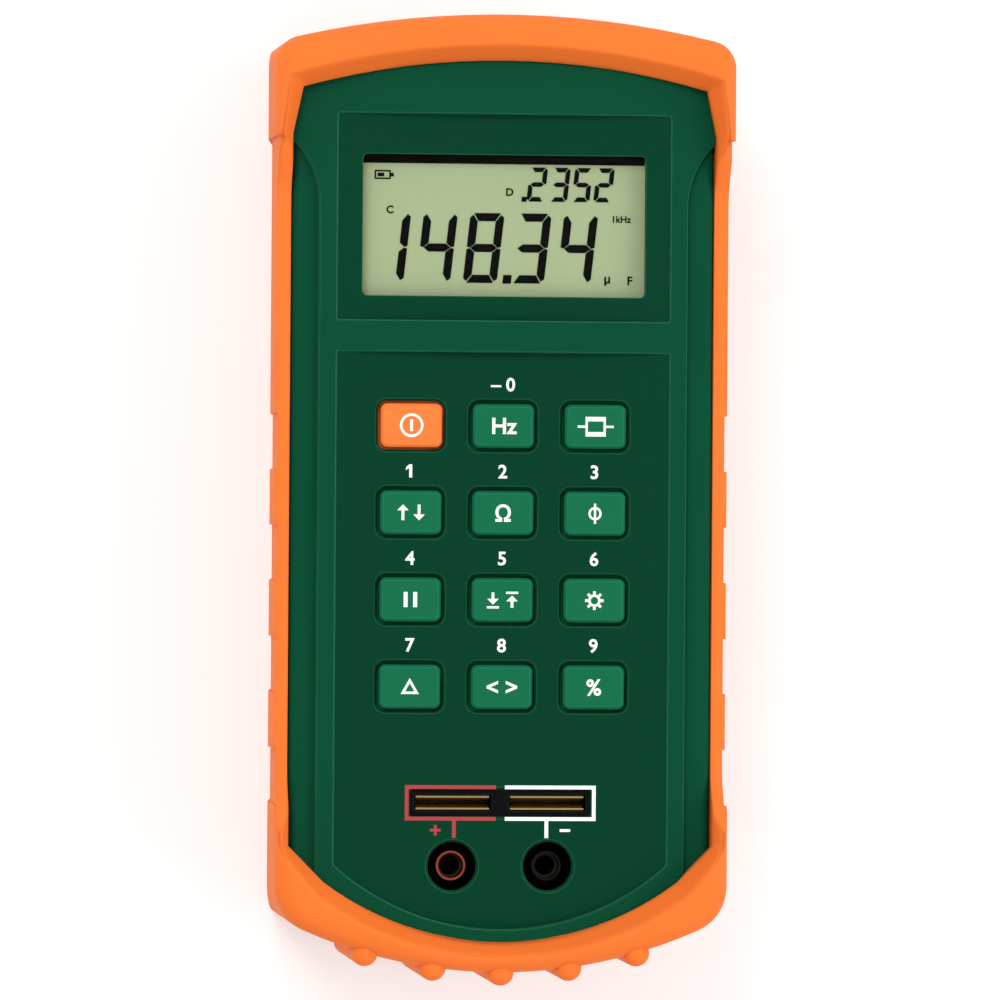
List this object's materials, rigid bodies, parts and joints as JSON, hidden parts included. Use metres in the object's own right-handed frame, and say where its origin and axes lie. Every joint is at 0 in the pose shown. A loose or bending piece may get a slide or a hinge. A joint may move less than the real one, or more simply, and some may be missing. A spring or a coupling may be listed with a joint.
{
  "type": "component tester",
  "caption": "Handheld component tester in an orange rubber boot with a display, rubber keys, a leg slot, two shrouded jacks and a tilt stand.",
  "frame": {"origin": "middle of the back, on the surface it lies on", "axes": "+Z out of the face, +Y towards the display end, +X to the right seen from the front"},
  "size_m": [0.0914, 0.192, 0.0525],
  "materials": {
    "holster_rubber": "matte",
    "case_plastic": "satin",
    "key_rubber": "matte",
    "power_key_rubber": "matte",
    "window_plastic": "gloss",
    "lcd_glass": "satin",
    "light_guide": "satin",
    "strip_rubber": "matte",
    "frame_plastic": "satin",
    "board_laminate": "satin",
    "chip_epoxy": "matte",
    "steel": "satin",
    "mat_rubber": "matte",
    "insert_plastic": "satin",
    "brass": "satin",
    "jack_red": "satin",
    "jack_black": "satin",
    "cell_jacket": "satin",
    "snap_plastic": "satin",
    "lead_jacket": "satin",
    "foam": "matte"
  },
  "bodies": {
    "case": {"holster": "holster_rubber", "front_cover": "case_plastic", "rear_cover": "case_plastic", "battery_door": "case_plastic", "case_screws": "steel", "battery_door_screw": "steel", "battery": "cell_jacket", "battery_snap": "snap_plastic", "battery_leads": "lead_jacket", "battery_foam": "foam", "display_window": "window_plastic", "lcd_panel": "lcd_glass", "backlight_panel": "light_guide", "zebra_strips": "strip_rubber", "lcd_frame": "frame_plastic", "main_board": "board_laminate", "main_chip": "chip_epoxy", "buzzer": "chip_epoxy", "board_screws": "steel", "keypad_mat": "mat_rubber", "key_skirts": "mat_rubber", "socket_insert": "insert_plastic", "contact_positive": "brass", "contact_negative": "brass", "jack_insulator_positive": "jack_red", "jack_insulator_negative": "jack_black", "jack_sleeve_positive": "brass", "jack_sleeve_negative": "brass"},
    "tilt_stand": {"tilt_stand": "case_plastic"},
    "key_power": {"key_power": "power_key_rubber"},
    "key_frequency": {"key_frequency": "key_rubber"},
    "key_mode": {"key_mode": "key_rubber"},
    "key_range": {"key_range": "key_rubber"},
    "key_quantity": {"key_quantity": "key_rubber"},
    "key_quality": {"key_quality": "key_rubber"},
    "key_hold": {"key_hold": "key_rubber"},
    "key_extremes": {"key_extremes": "key_rubber"},
    "key_setup": {"key_setup": "key_rubber"},
    "key_relative": {"key_relative": "key_rubber"},
    "key_limits": {"key_limits": "key_rubber"},
    "key_tolerance": {"key_tolerance": "key_rubber"}
  },
  "joints": [
    {"name": "key_power_press", "type": "slide", "parent": "case", "child": "key_power", "axis": [0, 0, -1], "range_m": [0, 0.0012], "stiffness_N_per_m": 1200, "deforming": ["key_skirts"]},
    {"name": "key_frequency_press", "type": "slide", "parent": "case", "child": "key_frequency", "axis": [0, 0, -1], "range_m": [0, 0.0012], "stiffness_N_per_m": 1200, "deforming": ["key_skirts"]},
    {"name": "key_mode_press", "type": "slide", "parent": "case", "child": "key_mode", "axis": [0, 0, -1], "range_m": [0, 0.0012], "stiffness_N_per_m": 1200, "deforming": ["key_skirts"]},
    {"name": "key_range_press", "type": "slide", "parent": "case", "child": "key_range", "axis": [0, 0, -1], "range_m": [0, 0.0012], "stiffness_N_per_m": 1200, "deforming": ["key_skirts"]},
    {"name": "key_quantity_press", "type": "slide", "parent": "case", "child": "key_quantity", "axis": [0, 0, -1], "range_m": [0, 0.0012], "stiffness_N_per_m": 1200, "deforming": ["key_skirts"]},
    {"name": "key_quality_press", "type": "slide", "parent": "case", "child": "key_quality", "axis": [0, 0, -1], "range_m": [0, 0.0012], "stiffness_N_per_m": 1200, "deforming": ["key_skirts"]},
    {"name": "key_hold_press", "type": "slide", "parent": "case", "child": "key_hold", "axis": [0, 0, -1], "range_m": [0, 0.0012], "stiffness_N_per_m": 1200, "deforming": ["key_skirts"]},
    {"name": "key_extremes_press", "type": "slide", "parent": "case", "child": "key_extremes", "axis": [0, 0, -1], "range_m": [0, 0.0012], "stiffness_N_per_m": 1200, "deforming": ["key_skirts"]},
    {"name": "key_setup_press", "type": "slide", "parent": "case", "child": "key_setup", "axis": [0, 0, -1], "range_m": [0, 0.0012], "stiffness_N_per_m": 1200, "deforming": ["key_skirts"]},
    {"name": "key_relative_press", "type": "slide", "parent": "case", "child": "key_relative", "axis": [0, 0, -1], "range_m": [0, 0.0012], "stiffness_N_per_m": 1200, "deforming": ["key_skirts"]},
    {"name": "key_limits_press", "type": "slide", "parent": "case", "child": "key_limits", "axis": [0, 0, -1], "range_m": [0, 0.0012], "stiffness_N_per_m": 1200, "deforming": ["key_skirts"]},
    {"name": "key_tolerance_press", "type": "slide", "parent": "case", "child": "key_tolerance", "axis": [0, 0, -1], "range_m": [0, 0.0012], "stiffness_N_per_m": 1200, "deforming": ["key_skirts"]},
    {"name": "stand_hinge", "type": "hinge", "parent": "case", "child": "tilt_stand", "pos_m": [0, 0.052, 0.00515], "axis": [1, 0, 0], "range_deg": [0, 65]}
  ]
}
